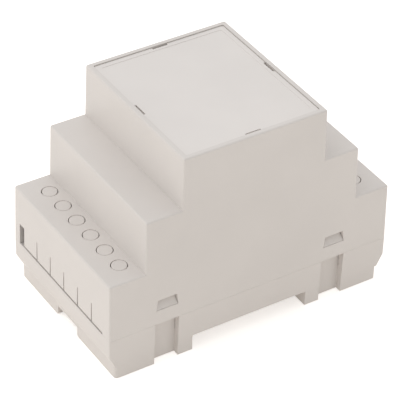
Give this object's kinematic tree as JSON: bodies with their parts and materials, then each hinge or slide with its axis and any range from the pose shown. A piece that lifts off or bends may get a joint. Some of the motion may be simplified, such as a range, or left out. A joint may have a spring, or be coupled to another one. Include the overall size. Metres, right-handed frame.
{
  "type": "din rail enclosure",
  "caption": "Stepped moulded enclosure that clips onto a top-hat mounting rail, with base, cover, snap-in front panel and sliding rail latch; empty inside.",
  "frame": {"origin": "middle of the footprint, on the plane of the feet", "axes": "+X along the mounting rail, +Y along the housing towards the fixed rail hooks, +Z away from the rail towards the front panel"},
  "size_m": [0.0526, 0.09, 0.065],
  "materials": {
    "shell": "fine moulded texture",
    "panel": "fine moulded texture",
    "latch": "smooth moulded"
  },
  "bodies": {
    "housing": {"base": "shell", "cover": "shell", "front_panel": "panel"},
    "latch": {"rail_latch": "latch"}
  },
  "joints": [
    {"name": "latch_slide", "type": "slide", "parent": "housing", "child": "latch", "axis": [0, -1, 0], "range_m": [0, 0.003], "stiffness_N_per_m": 600}
  ]
}
